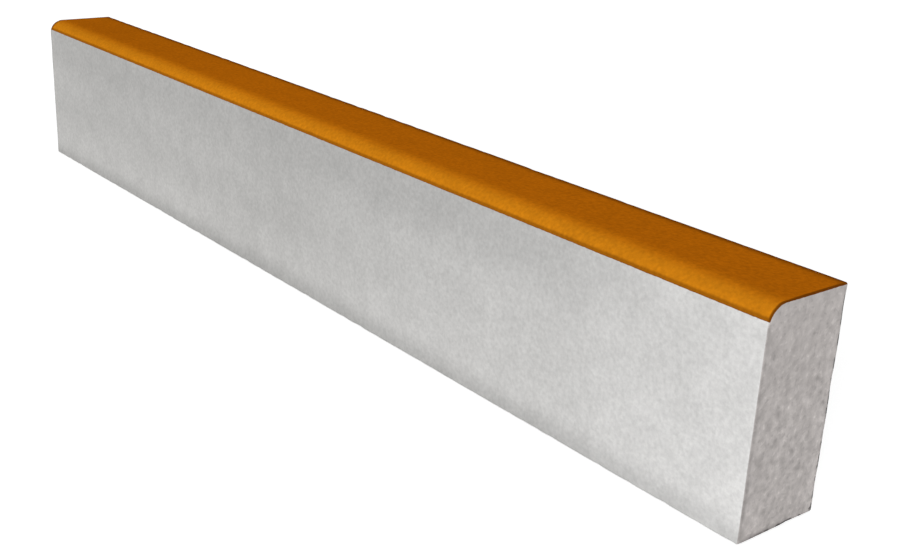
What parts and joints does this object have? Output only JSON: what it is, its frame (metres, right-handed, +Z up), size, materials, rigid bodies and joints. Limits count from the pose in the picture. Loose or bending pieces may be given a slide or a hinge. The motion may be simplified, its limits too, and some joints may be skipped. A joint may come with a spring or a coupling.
{
  "type": "concrete kerb stone",
  "caption": "Straight concrete kerb stone of rectangular section with a rounded nose along its upper front edge, plain butt ends, and an orange-coloured top over grey sides.",
  "frame": {"origin": "middle of the bedding face, which is the bottom centre of the kerb's box", "axes": "+X along the kerb, +Y from the front face with the nose to the back face, +Z up"},
  "size_m": [1, 0.07, 0.15],
  "materials": {
    "concrete": "matte"
  },
  "bodies": {
    "root": {"kerb_stone": "concrete"}
  },
  "joints": []
}
